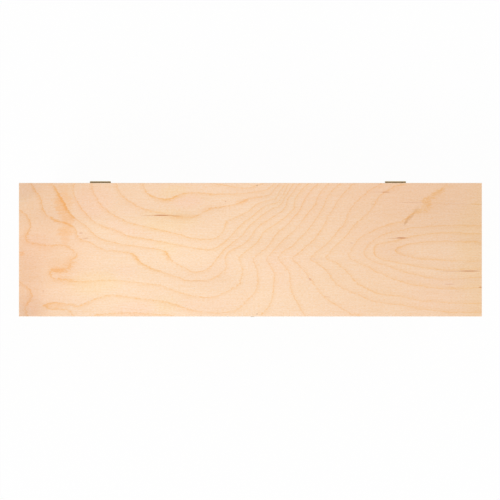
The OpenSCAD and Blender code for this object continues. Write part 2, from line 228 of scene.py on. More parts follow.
AMBER_STAINS = (
    (-143, 32, 6.5, 8, -0.8, 0.7),
    (-139, 38, 6, 9, -0.6, 0.5),
    (-141, 46.5, 6, 3.5, 0, 0.3),
    (-138, 23, 6.5, 5, -0.2, 0.6),
    (-139.5, 14, 8, 5.5, 0, 0.6),
    (-139.5, 8, 4, 5, 0, 0.4),
    (-137, -10, 5, 6, 0.4, 0.2),
    (-145, -15, 7, 3, 0, 0.4),
    (-146, -42.5, 10, 1.6, 0, 0.4),
    (-172.5, -3, 3, 2.2, 0, 0.65),
    (-50, 24.8, 14, 2.4, 0.05, 0.3),
    (-63, -5, 3.5, 5, -0.6, 0.3),
    (-86, -7, 5, 4, -0.6, 0.25),
    (-6, 36.5, 6, 2.6, 0.2, 0.35),
    (-33, 31, 6, 2.2, 0.3, 0.25),
    (132.5, 33, 4.5, 4.5, 0.4, 0.5),
    (127, 29.5, 5.5, 2.6, 0.3, 0.6),
    (144, 44, 4, 2.6, 0.3, 0.3),
    (132, 38, 4, 2, 0.3, 0.3),
    (171, 34.5, 7, 0.8, 0, 0.6),
)
MINERAL_STREAKS = (
    (121.5, 25, 3.2, 1.7, 1.0, 0.5),
    (117.6, 20.9, 2.2, 2.1, 1.1, 0.75),
    (119.5, 24, 2.6, 0.9, 0.9, 0.6),
    (125, 30, 3.2, 2.4, 0.9, 0.22),
    (-49, 26, 16, 4, 0, 0.16),
    (-30, 30, 14, 4, 0.1, 0.12),
)
# Broad patches: x, y, half length and half height in mm, then how much deeper (over 0) or
# paler, how much rosier (over 0) or creamier, and how much greyer (over 0) or warmer.
TONE_PATCHES = (
    (-174, -47, 20, 12, 0.5),
    (-174, 48, 14, 10, 0.2),
    (-172, -25, 16, 26, 0.25),
    (-50, 37, 24, 8, 0.08),
    (-22, 27, 28, 16, -0.08),
    (-85, 6, 70, 18, -0.14),
    (-110, -32, 40, 12, -0.12),
    (-40, -30, 40, 18, 0.12),
    (-155, -12, 30, 30, 0.1),
    (65, -35, 40, 18, 0.06),
    (142, 0, 30, 12, -0.16),
)
HUE_PATCHES = (
    (-58, 44, 12, 6, -0.8),
    (-68, 22, 30, 9, -0.9),
    (-118, -26, 22, 11, -0.8),
    (-63, -41, 12, 8, -0.7),
    (-64, 2, 10, 8, -0.6),
    (98, -37, 22, 14, -0.4),
    (-119, 37, 16, 14, 0.9),
    (-93, 20, 16, 11, 0.5),
    (-48, 37, 12, 6, 0.9),
    (-88, -45, 16, 7, 0.7),
    (-35, -43, 22, 10, 0.5),
    (-163, -3, 14, 16, 0.6),
    (-94, -16, 10, 7, 0.6),
    (30, -15, 22, 18, 0.4),
    (-173, 48, 14, 8, 0.8),
    (-173, -48, 12, 8, 1.0),
    (184, -8, 30, 70, -1.0),
)
GREY_PATCHES = (
    (-177, 51, 18, 18, 1.0),
    (-177, -51, 14, 12, 1.0),
    (184, 10, 80, 70, 0.45),
    (22, 38, 16, 14, 0.5),
    (-160, -8, 50, 32, -0.8),
)


def safe_log(square):
    """The logarithm of squared distances, of which some are nought."""
    return np.log(np.maximum(square, 1e-9))


def growth_levels(places):
    """Level at each place, and the millimetres from one growth line to the next there.

    A thin plate is bent through the growth lines' points, with a little slack at each. About
    one point it bends as r^2 log r^2.
    """
    slack = 8.0
    widest_spacing = 40.0
    knots = np.array([point for _, line in GROWTH_LINES for point in line], float)
    heights = np.array([level for level, line in GROWTH_LINES for _ in line], float)
    count = len(knots)
    square = ((knots[:, None] - knots[None]) ** 2).sum(-1)
    system = np.zeros((count + 3, count + 3))
    system[:count, :count] = square * safe_log(square) + slack * np.eye(count)
    system[:count, count] = system[count, :count] = 1
    system[:count, count + 1:] = knots
    system[count + 1:, :count] = knots.T
    weights = np.linalg.solve(system, np.concatenate([heights, np.zeros(3)]))
    bends, base, tilt = weights[:count], weights[count], weights[count + 1:]

    away = places[:, None] - knots[None]
    square = (away ** 2).sum(-1)
    logs = safe_log(square)
    level = (square * logs) @ bends + base + places @ tilt
    slope = 2 * (logs + 1) * bends
    steep = (away * slope[..., None]).sum(1) + tilt
    spacing = 1 / np.maximum(np.hypot(*steep.T), 1 / widest_spacing)
    return level, spacing


# ---- Sizes and colours that a user would change ----

class WineBoxWood(bpy.types.PropertyGroup):
    """Colours and figure of the veneer and the boards."""

    pale: FloatVectorProperty(
        name="Pale wood", description="Veneer where it is lightest", subtype="COLOR", size=3,
        min=0, max=1, default=paint(252.5, 225, 198))
    deep: FloatVectorProperty(
        name="Deep wood", description="Veneer where it is darkest", subtype="COLOR", size=3,
        min=0, max=1, default=paint(235.5, 199, 169))
    line: FloatVectorProperty(
        name="Growth line", description="Tint of a growth line over the wood", subtype="COLOR",
        size=3, min=0, max=1, default=(0.968, 0.75, 0.43))
    right_line: FloatVectorProperty(
        name="Growth line, right", description="The same towards the lid's right end",
        subtype="COLOR", size=3, min=0, max=1, default=(0.975, 0.785, 0.45))
    resin: FloatVectorProperty(
        name="Resin", description="Tint of a resin streak over the wood", subtype="COLOR",
        size=3, min=0, max=1, default=(0.68, 0.42, 0.3))
    line_width: FloatProperty(
        name="Line width", description="Half width of a growth line, in mm", default=0.68,
        min=0.2, max=3)
    halo_width: FloatProperty(
        name="Halo", description="Fade on the deeper side of a line, in mm", default=3.6,
        min=0.5, max=10)
    board: FloatVectorProperty(
        name="Boards", description="Early wood of the walls", subtype="COLOR", size=3,
        min=0, max=1, default=paint(246, 211, 169))
    board_line: FloatVectorProperty(
        name="Boards' rings", description="Late wood of the walls", subtype="COLOR", size=3,
        min=0, max=1, default=paint(226, 177, 124))
    end_grain: FloatVectorProperty(
        name="End grain", description="Wood cut across its fibres", subtype="COLOR", size=3,
        min=0, max=1, default=paint(205, 157, 107))
    ring: FloatProperty(
        name="Ring width", description="Width of a growth ring in the walls, in mm",
        default=4.2, min=1, max=12)
    roughness: FloatProperty(
        name="Roughness", description="Roughness of the sanded wood", default=0.62, min=0,
        max=1, subtype="FACTOR")


class WineBoxMetal(bpy.types.PropertyGroup):
    """Finish of the brass and the brads."""

    brass: FloatVectorProperty(
        name="Antique brass", description="Darkened brass", subtype="COLOR", size=3,
        min=0, max=1, default=paint(118, 98, 63))
    # Also the colour of the painted highlight on the hinge barrels' outer side.
    worn: FloatVectorProperty(
        name="Worn brass", description="Brass that hands have rubbed bright",
        subtype="COLOR", size=3, min=0, max=1, default=paint(190, 164, 110))
    brad: FloatVectorProperty(
        name="Brads", description="Steel of the brads' heads", subtype="COLOR", size=3,
        min=0, max=1, default=paint(208, 178, 146))
    # Painted light: the lighter colour of the front brads' heads, against the shade in their
    # recesses.
    dust: FloatVectorProperty(
        name="Wood dust", description="Dust on the front brads' heads", subtype="COLOR",
        size=3, min=0, max=1, default=paint(222, 192, 158))
    roughness: FloatProperty(
        name="Roughness", description="Roughness of the brass", default=0.36, min=0, max=1,
        subtype="FACTOR")


class WineBoxStage(bpy.types.PropertyGroup):
    """Camera, lamps and floor."""

    distance: FloatProperty(
        name="Camera height", description="Camera's height above the lid", unit="LENGTH",
        default=0.62, min=0.3, max=5)
    view_width: FloatProperty(
        name="View width", description="Width that the picture covers at the lid",
        unit="LENGTH", default=0.3777, min=0.1, max=2)
    axis_x: FloatProperty(
        name="Lens axis across", description="Where the lens points, along the box",
        unit="LENGTH", default=-0.014, min=-0.2, max=0.2)
    axis_y: FloatProperty(
        name="Lens axis up", description="Where the lens points, towards the hinges",
        unit="LENGTH", default=0.024, min=-0.2, max=0.2)
    dome: FloatProperty(
        name="Dome", description="Strength of the light from all round", default=0.7, min=0,
        max=2)
    key: FloatProperty(
        name="Key lamp", description="Power of the large lamp at the front left, in W",
        default=27, min=0, max=200)
    fill: FloatProperty(
        name="Fill lamp", description="Power of the lamp at the back right, in W", default=10,
        min=0, max=200)


# ---- Shader writing ----

class Value:
    """A shader socket on which Python's arithmetic adds Math nodes."""

    def __init__(self, shader, socket):
        self.shader = shader
        self.socket = socket

    def step(self, operation, *values):
        """A Math node on this shader."""
        return self.shader.node("Math", dict(enumerate(values)), operation=operation)

    def __add__(self, other):
        return self.step("ADD", self, other)

    def __radd__(self, other):
        return self.step("ADD", other, self)

    def __sub__(self, other):
        return self.step("SUBTRACT", self, other)

    def __rsub__(self, other):
        return self.step("SUBTRACT", other, self)

    def __mul__(self, other):
        return self.step("MULTIPLY", self, other)

    def __rmul__(self, other):
        return self.step("MULTIPLY", other, self)

    def __truediv__(self, other):
        return self.step("DIVIDE", self, other)

    def __pow__(self, other):
        return self.step("POWER", self, other)

    def __abs__(self):
        return self.step("ABSOLUTE", self)

    def fraction(self):
        """What is left over a whole number."""
        return self.step("FRACT", self)

    def or_more(self, other):
        """The higher of the two."""
        return self.step("MAXIMUM", self, other)

    def at_most(self, other):
        """The lower of the two."""
        return self.step("MINIMUM", self, other)


class Shader:
    """The nodes of a material or a world in the making, of which one is the last."""

    def __init__(self, owner, last="Principled BSDF"):
        self.owner = owner
        owner.use_nodes = True
        self.tree = owner.node_tree
        self.last = self.tree.nodes[last]

    @cached_property
    def where(self):
        """The place on the object, in mm."""
        place = self.node("TexCoord", out="Object")
        return self.node("VectorMath", {0: place, 1: (1 / MM,) * 3}, operation="MULTIPLY")

    def feed(self, node, inputs):
        """Gives a node's sockets their values or links."""
        for name, value in dict(inputs).items():
            if isinstance(value, Value):
                self.tree.links.new(value.socket, node.inputs[name])
            else:
                node.inputs[name].default_value = value

    def node(self, kind, inputs=(), out=0, stops=(), **settings):
        """A node of this kind: its settings first, then its sockets' values or links."""
        made = self.tree.nodes.new("ShaderNode" + kind)
        for name, value in settings.items():
            setattr(made, name, value)
        if stops:
            ramp = made.color_ramp.elements
            while len(ramp) < len(stops):
                ramp.new(1.0)
            for element, (place, grey) in zip(ramp, stops):
                element.position = place
                element.color = (grey, grey, grey, 1)
        self.feed(made, inputs)
        return Value(self, made.outputs[out])

    def axes(self, vector):
        """The three parts of a vector."""
        parts = self.node("SeparateXYZ", {0: vector}).socket.node
        return [Value(self, socket) for socket in parts.outputs]

    def noise(self, scale, detail=2.0, rough=0.5, seed=0.0):
        """Noise about 0, with that many features to the millimetre along X, Y and Z."""
        spot = self.node("VectorMath", {0: self.where, 1: scale, 2: (seed,) * 3},
                         operation="MULTIPLY_ADD")
        return self.node("TexNoise", {"Vector": spot, "Scale": 1.0, "Detail": detail,
                                      "Roughness": rough}) - 0.5

    def fade(self, value, nought, one):
        """0 at nought, 1 at one, smooth between them and level beyond."""
        return self.node("MapRange", {0: value, 1: nought, 2: one},
                         interpolation_type="SMOOTHSTEP")

    def mix(self, first, second, share, blend="MIX"):
        """Two colours, blended by share."""
        colours = [c if isinstance(c, Value) else (*c, 1)[:4] for c in (first, second)]
        return self.node("Mix", {0: share, 6: colours[0], 7: colours[1]}, out=2,
                         data_type="RGBA", blend_type=blend)

    def tinted(self, colour, tint, share):
        """A colour under a tint that multiplies it, by share."""
        return self.mix(colour, tint, share, "MULTIPLY")

    def scaled(self, colour, amount):
        """A colour made lighter or darker."""
        return self.node("VectorMath", {0: colour, "Scale": amount}, operation="SCALE")

    def finish(self, colour, roughness, relief=None, depth=0.05, metallic=0.0, specular=0.4):
        """Joins colour, roughness and relief, depth mm deep, to the material's surface."""
        values = {"Base Color": colour, "Roughness": roughness, "Metallic": metallic,
                  "Specular IOR Level": specular}
        if relief is not None:
            values["Normal"] = self.node("Bump", {"Height": relief, "Distance": depth * MM,
                                                  "Strength": 1.0})
        self.feed(self.last, values)
        return self.owner


def new_material(name):
    """The shader of a new material."""
    return Shader(bpy.data.materials.new(name))


# ---- Wood ----

# Tints over the veneer's colour.
GREY_TINT = (0.95, 0.99, 1.01)
WARM_TINT = (1.03, 1.0, 0.99)
ROSY_TINT = (1.01, 0.975, 1.0)
CREAM_TINT = (0.998, 1.0, 0.93)
AMBER_TINT = (1.0, 0.76, 0.44)
RIGHT_AMBER_TINT = (0.95, 0.81, 0.5)
MINERAL_TINT = (0.78, 0.68, 0.56)
GRAIN_TINT = (0.985, 0.86, 0.67)


def spots(s, x, y, marks, ragged):
    """One mask for all the given marks, each an ellipse with soft, ragged edges."""
    total = 0.0
    place = s.node("CombineXYZ", {0: x, 1: y, 2: 1.0})
    for middle_x, middle_y, half_x, half_y, slope, strength in marks:
        along = s.node("Math", {0: x, 1: 1 / half_x, 2: -middle_x / half_x},
                       operation="MULTIPLY_ADD")
        tilted = (-slope / half_y, 1 / half_y, (middle_x * slope - middle_y) / half_y)
        across = ragged + s.node("VectorMath", {0: place, 1: tilted}, out="Value",
                                 operation="DOT_PRODUCT")
        far = s.node("Math", {0: along, 1: along, 2: across * across},
                     operation="MULTIPLY_ADD")
        mask = s.node("MapRange", {0: far, 1: 1.0, 2: 0.15, 4: strength},
                      interpolation_type="SMOOTHSTEP")
        total = mask.or_more(total)
    return total


def patches(s, x, y, marks):
    """The sum of broad patches that fade out towards their rims."""
    total = 0.0
    for middle_x, middle_y, half_x, half_y, amount in marks:
        along = (x - middle_x) / half_x
        across = (y - middle_y) / half_y
        total = s.fade(along * along + across * across, 1.6, 0.0) * amount + total
    return total


def lid_tone_and_painted_light(s, x, y):
    """How deep the lid's colour is, 0 to 1: the veneer's tone with a painted lamp gradient,
    paler at the front left towards the key lamp, deeper at the ends and at the back.
    """
    half_length, half_width = 175, 50.5
    along = (x + half_length) / (2 * half_length)
    # Painted light mixed with the veneer's tone: palest where the key lamp at the front left
    # falls, deeper towards the ends.
    ramp = s.node("ValToRGB", {0: along}, stops=(
        (0.0, 0.72), (0.06, 0.62), (0.17, 0.3), (0.32, 0.2), (0.55, 0.3), (0.72, 0.55),
        (0.88, 0.74), (1.0, 0.9)))
    # Painted shade: the lid deepens from the front to the back, away from the key lamp.
    painted_shade_front_to_back = s.fade(y, -half_width, half_width)
    return ramp + (painted_shade_front_to_back - 0.45) * 0.36 + patches(s, x, y, TONE_PATCHES)


def growth_figure(s, x, y, level, spacing, right, look, marked, seed):
    """Masks of the growth lines and of their halos, and the tone of the bands between."""
    left = s.fade(x, 10, -110)
    stepped = s.noise((0.05, 0.5, 0), detail=3, rough=0.7, seed=seed)
    torn = s.noise((0.35, 1.2, 0), detail=1, seed=seed + 12)
    drift = s.noise((0.03, 0.06, 0), detail=1, seed=seed + 4)
    open_ground = s.fade(spacing, 3, 14)
    shifted = level + (stepped * (1.2 + open_ground * 1.8) + torn * (0.5 + open_ground * 1.9)
                       + drift * 1.2) / spacing
    past = ((shifted + 0.5).fraction() - 0.5) * spacing

    worn = s.noise((0.08, 0.7, 0), detail=2, seed=seed + 5)
    patchy = s.noise((0.02, 0.06, 0), detail=2, seed=seed + 9)
    bold = spots(s, x, y, BOLD_STRETCHES, worn) if marked else 0.0
    width = look.line_width * (1.0 - left * 0.05 + patchy * 1.2 + bold * 1.5)
    strength = 0.53 + left * 0.09 - right * 0.05 + patchy * 0.4 + worn * 0.6 + bold * 0.4
    line = s.fade(abs(past) / width, 1.0, 0.1) * strength
    halo = s.fade(past, look.halo_width, 0) * s.fade(past, -1.6, 0.2)
    halo = halo * (0.16 + patchy * 0.3 + left * 0.08 + bold * 0.35)
    band = s.node("TexNoise", {"W": shifted * 0.8 + seed, "Scale": 1.0, "Detail": 0.0},
                  noise_dimensions="1D") - 0.5
    return line, halo, band


def stained(s, x, y, colour, right, look, seed):
    """The veneer's colour under its amber stains, mineral streaks and resin."""
    ragged = s.noise((0.2, 1.2, 0), detail=2, seed=seed + 1) * 0.8
    fibrous = s.noise((0.06, 0.9, 0), detail=3, rough=0.65, seed=seed + 3) * 1.8
    amber = spots(s, x + fibrous * 5, y, AMBER_STAINS, fibrous * 0.35)
    mineral = spots(s, x + ragged * 2, y, MINERAL_STREAKS, ragged)
    resin = spots(s, x, y, RESIN_STREAKS, ragged * 0.5)
    amber_tint = s.mix(AMBER_TINT, RIGHT_AMBER_TINT, right)
    colour = s.tinted(colour, amber_tint, amber * (0.75 + fibrous * 0.6))
    colour = s.tinted(colour, MINERAL_TINT, mineral * (0.9 + fibrous))
    return s.tinted(colour, look.resin, resin)


def veneer(s, level, spacing, tone_and_painted_light, look, marked=False, seed=0.0):
    """Colour and relief of a rotary-cut birch face with the given growth levels.

    A marked face also carries the marks and patches that are listed above.
    """
    x, y, _ = s.axes(s.where)
    right = s.fade(x, 90, 130)
    line, halo, band = growth_figure(s, x, y, level, spacing, right, look, marked, seed)

    cloud = s.noise((0.012, 0.05, 0), detail=3, rough=0.55, seed=seed + 2)
    # On the lid, the tone holds a painted lamp gradient as well as the veneer's own tone.
    depth = tone_and_painted_light + cloud * 0.45 + band * 0.12
    colour = s.mix(look.pale, look.deep, depth.at_most(1.0))
    rosy = s.noise((0.01, 0.035, 0), detail=2, seed=seed + 11) + band * 0.3
    if marked:
        rosy = rosy * 0.4 + patches(s, x, y, HUE_PATCHES) * 0.25
        grey = patches(s, x, y, GREY_PATCHES)
        colour = s.tinted(colour, GREY_TINT, s.fade(grey, 0, 1))
        colour = s.tinted(colour, WARM_TINT, s.fade(grey, 0, -1))
    colour = s.tinted(colour, ROSY_TINT, s.fade(rosy, -0.05, 0.25))
    colour = s.tinted(colour, CREAM_TINT, s.fade(rosy, -0.02, -0.25))
    line_tint = s.mix(look.line, look.right_line, right)
    colour = s.tinted(colour, line_tint, line.or_more(halo))
    if marked:
        colour = stained(s, x, y, colour, right, look, seed)

    fibre = s.noise((0.07, 1.1, 0), detail=3, rough=0.65, seed=seed + 6)
    fine = s.noise((0.55, 1.25, 0), detail=1.5, rough=0.7, seed=seed + 7)
    dust = s.noise((1.1, 1.3, 0), detail=1, seed=seed + 14)
    fleck = s.fade(s.noise((0.4, 1.6, 0), detail=1, seed=seed + 8), 0.17, 0.3)
    speck = s.fade(s.noise((0.6, 0.8, 0), detail=0, seed=seed + 13), 0.33, 0.4)
    colour = s.tinted(colour, GRAIN_TINT, 0.37 + fine * 2.2 + fibre * 1.25)
    light = 1.0 + dust * 0.17 - fibre * 0.05 - fleck * 0.07 - speck * 0.14
    return s.scaled(colour, light), fibre * 0.5 + fine * 0.5 - line * 0.3 - fleck * 0.4


def plain_growth(s, seed):
    """Levels for a veneer of no particular figure, and their usual spacing in mm."""
    spacing, leaning, rolling = 9.0, 0.35, 60
    _, y, _ = s.axes(s.where)
    hills = s.noise((0.005, 0.02, 0), detail=2, seed=seed) * rolling
    return (y * leaning + hills) / spacing + seed, spacing


def plies(s, look, low_z, high_z):
    """The three plies that show on a panel's edges: long, cross and long grain."""
    _, _, z = s.axes(s.where)
    face_x, _, _ = s.axes(s.node("TexCoord", out="Normal"))
    ply, blur = 1.25, 0.06
    lower, upper = low_z + ply, high_z - ply
    height = z + s.noise((0.01, 0.01, 0), detail=1, seed=5) * 0.25
    over_lower = s.fade(height, lower - blur, lower + blur)
    under_upper = s.fade(height, upper + blur, upper - blur)
    core = over_lower * under_upper
    seam = s.fade(abs(height - lower), 0.1, 0.03) + s.fade(abs(height - upper), 0.1, 0.03)
    ends = s.fade(abs(face_x), 0.4, 0.8)
    cut = ends + core - 2 * ends * core
    long_grain = s.noise((0.08, 0.08, 5.0), detail=3, rough=0.6, seed=2)
    pores = s.noise((3.0, 3.0, 1.5), detail=3, rough=0.7, seed=3)
    colour = s.mix(look.board, look.end_grain, cut * 0.75)
    light = 1.0 + long_grain * 0.14 * (1.0 - cut) + pores * 0.34 * cut - seam * 0.3
    return s.scaled(colour, light), pores * cut - seam


def plywood(name, look, low_z, high_z, seed, figured=False):
    """Material of a panel: a veneered face above and below, and plies on its edges.

    A figured panel carries its own growth levels, in the attribute that growth_levels fills.
    """
    s = new_material(name)
    x, y, _ = s.axes(s.where)
    _, _, face_z = s.axes(s.node("TexCoord", out="Normal"))
    plain_tone = s.noise((0.01, 0.01, 0), seed=seed) + 0.4
    colour, relief = veneer(s, *plain_growth(s, seed), plain_tone, look, seed=seed)
    if figured:
        level, spacing, _ = s.axes(s.node("Attribute", out="Vector",
                                          attribute_name="growth"))
        # The lid's tone carries a painted lamp gradient, palest at the front left.
        top = veneer(s, level, spacing, lid_tone_and_painted_light(s, x, y), look, marked=True)
        upper = s.fade(face_z, -0.5, 0.5)
        colour = s.mix(colour, top[0], upper)
        relief = relief * (1.0 - upper) + top[1] * upper
    edge_colour, edge_relief = plies(s, look, low_z, high_z)
    face = s.fade(abs(face_z), 0.3, 0.55)
    # The rounded rims are lightened towards the pale wood: a painted highlight where they turn
    # from the key lamp, over the paler look of sanded wood.
    sanded_rim_and_painted_highlight = s.fade(abs(face_z), 0.995, 0.8) * face
    colour = s.mix(edge_colour, colour, face)
    colour = s.mix(colour, look.pale, sanded_rim_and_painted_highlight * 0.9)
    return s.finish(colour, look.roughness,
                    edge_relief * (1.0 - face) * 2.0 + relief * face)


def board_wood(name, look, grain, pith, seed):
    """Material of a wall and its rail, sawn from one board: rings about a pith beside it.

    grain is the axis that the fibres follow, and pith the place of the log's middle in the
    plane across them, in mm.
    """
    s = new_material(name)
    x, y, z = s.axes(s.where)
    along, side = (x, y) if grain == "X" else (y, x)

    def wander(step, start, reach):
        """How far the pith strays from its place along the board, in mm."""
        return (s.node("TexNoise", {"W": along * step + start, "Scale": 1.0, "Detail": 1.0},
                       noise_dimensions="1D") - 0.5) * reach

    out = side - pith[0] + wander(0.006, seed, 26)
    up = z - pith[1] + wander(0.004, seed + 7, 46)
    lumps = (0.012, 0.05, 0.05) if grain == "X" else (0.05, 0.012, 0.05)
    radius = (out * out + up * up) ** 0.5 + s.noise(lumps, detail=2, seed=seed) * 9
    ring = radius / look.ring
    phase = ring.fraction()
    late = s.fade(phase, 0.25, 0.93) ** 1.6 * s.fade(phase, 1.0, 0.94)
    strength = 0.5 + s.noise((0.01, 0.03, 0.03), detail=1, seed=seed + 3) * 0.6

    def along_grain(length, width, **look_of):
        """Noise drawn out along the fibres, with features of that length and width in mm."""
        scale = [1 / width] * 3
        scale["XY".index(grain)] = 1 / length
        return s.noise(scale, **look_of)

    fibre = along_grain(16, 0.45, detail=3, rough=0.65, seed=seed + 1)
    streak = along_grain(60, 2.6, detail=2, seed=seed + 8)
    vessels = s.fade(along_grain(7, 0.3, detail=1, seed=seed + 9), 0.16, 0.26)
    cloud = s.noise(lumps, detail=2, seed=seed + 5)
    facing = s.axes(s.node("TexCoord", out="Normal"))["XY".index(grain)]
    cut = s.fade(abs(facing), 0.5, 0.85)
    pores = s.noise((4.0, 4.0, 4.0), detail=2, rough=0.7, seed=seed + 2)

    colour = s.mix(look.board, look.board_line, late * strength)
    colour = s.mix(colour, look.end_grain, cut * (0.5 + late * 0.25))
    long_light = fibre * 0.13 + streak * 0.09 - vessels * 0.08
    light = 1.0 + cloud * 0.12 + long_light * (1.0 - cut) + pores * 0.3 * cut
    relief = (fibre - vessels * 0.5) * (1.0 - cut) + pores * cut
    return s.finish(s.scaled(colour, light), look.roughness, relief, depth=0.06)


# ---- Metal ----

def antique_brass(name, look, hinge_y, screws=False):
    """Darkened brass, bright where its arrises are rubbed, with a painted highlight where it
    lies farther out along Y than the hinge axis.
    """
    s = new_material(name)
    _, y, _ = s.axes(s.where)
    arris = s.node("Attribute", out="Fac", attribute_name="arris")
    patina = s.noise((0.6, 0.6, 0.6), detail=4, rough=0.65)
    grime = s.noise((2.6, 2.6, 2.6), detail=2, rough=0.6, seed=3)
    brushed = s.noise((0.3, 5.0, 6.0), detail=2, rough=0.6, seed=6)
    # Painted highlight on the outer side of the hinge barrels, farther out along Y than their
    # axis.
    painted_barrel_highlight = s.fade(abs(y) + patina * 0.5, hinge_y, hinge_y + 0.7)
    # The bright brass mask: the painted highlight plus patches of real wear on the patina and
    # the arrises.
    worn = painted_barrel_highlight * 0.7 + s.fade(patina, 0.05, 0.3) * 0.35
    worn = worn.or_more(arris * s.fade(patina, -0.3, 0.1) * 0.8)
    if screws:
        worn = worn + 0.45
    colour = s.mix(look.brass, look.worn, worn)
    colour = s.scaled(colour, 1.0 + grime * 0.45 + brushed * 0.25)
    roughness = look.roughness + 0.16 * patina + s.fade(grime, 0.0, 0.3) * 0.12
    return s.finish(colour, roughness, grime * 0.6 + brushed * 0.4, depth=0.02,
                    metallic=1.0, specular=0.5)


def brad_steel(look):
    """Dull steel of the brads' sunk heads, lightened most on the front ones: painted light
    against the shade in their recesses.
    """
    s = new_material("brad_steel")
    _, y, _ = s.axes(s.where)
    tarnish = s.noise((3.0, 3.0, 3.0), detail=2)
    # Painted light: the heads lighten towards the front, against the shade in their recesses.
    head = s.mix(look.brad, look.dust, s.fade(y, 0, -40))
    return s.finish(s.scaled(head, 1.0 + tarnish * 0.6), 0.6 + tarnish * 0.2,
                    metallic=0.35)


# ---- Meshes ----

FLAT = math.radians(1)  # faces that turn less than this are joined
ARRIS = math.radians(50)  # an edge that turns more is an arris
ROUND = math.radians(12)  # faces that turn less are shaded as one
NO_LENGTH = 1e-7  # what is shorter than this, in metres, is dissolved


def piece_from(bm, name, material, body, node):
    """A finished object from a bmesh, on its body and in place of its CAD node."""
    mesh = bpy.data.meshes.new(name)
    bm.to_mesh(mesh)
    bm.free()
    mesh.materials.append(material)
    piece = bpy.data.objects.new(name, mesh)
    bpy.context.scene.collection.objects.link(piece)
    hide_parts(node)
    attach(piece, body)
    return piece


def eased_copy(node, material, body, ease, shortest=0.0):
    """A copy of a CAD node whose arrises are broken, as sandpaper or a tumbler does it.

    The faces of the broken arrises carry 1 in the attribute arris. Edges under the shortest
    length stay sharp.
    """
    bm = bmesh.new()
    bm.from_mesh(frame["nodes"][node].data)
    bmesh.ops.remove_doubles(bm, verts=bm.verts, dist=SAME_PLACE)
    bmesh.ops.dissolve_limit(bm, angle_limit=FLAT, verts=bm.verts, edges=bm.edges)
    layer = bm.faces.layers.float.new("arris")
    sharp = [edge for edge in bm.edges
             if len(edge.link_faces) == 2 and edge.calc_length() > shortest
             and edge.calc_face_angle() > ARRIS]
    broken = bmesh.ops.bevel(bm, geom=sharp, offset=ease, segments=2, profile=0.5,
                             affect="EDGES", material=-1, clamp_overlap=True)
    for face in broken["faces"]:
        face[layer] = 1.0
    bmesh.ops.dissolve_degenerate(bm, dist=NO_LENGTH, edges=bm.edges)
    for edge in bm.edges:
        edge.smooth = len(edge.link_faces) == 2 and edge.calc_face_angle() < ROUND
    for face in bm.faces:
        face.smooth = True
    piece = piece_from(bm, node + "_eased", material, body, node)
    return piece


def new_verts(made):
    """The vertices among what an operator made."""
    return [part for part in made["geom"] if isinstance(part, bmesh.types.BMVert)]


def new_edges(made):
    """The edges among what an operator made."""
    return [part for part in made["geom"] if isinstance(part, bmesh.types.BMEdge)]


def brad_hole(bm, place, radius, depth):
    """Sinks a round hole for a brad into the grid of a panel's face.

    It takes the place of a block of 3 by 3 cells.
    """
    cells = sorted(bm.faces, key=lambda face: (face.calc_center_median() - place).length)
    patch = cells[:3 * 3]
    edges = [edge for face in patch for edge in face.edges]
    square = [edge for edge in edges if edges.count(edge) == 1]
    bmesh.ops.delete(bm, geom=patch, context="FACES")
    rim = bmesh.ops.extrude_edge_only(bm, edges=square)
    circle = new_verts(rim)
    circle.sort(key=lambda vert: math.atan2(vert.co.y - place.y, vert.co.x - place.x))
    step = 2 * math.pi / len(circle)
    for count, vert in enumerate(circle):
        turn = (count + 0.5) * step - math.pi
        vert.co = place + radius * Vector((math.cos(turn), math.sin(turn), 0))
    lower = bmesh.ops.extrude_edge_only(bm, edges=new_edges(rim))
    bmesh.ops.translate(bm, vec=(0, 0, -depth), verts=new_verts(lower))
    bmesh.ops.contextual_create(bm, geom=new_edges(lower))


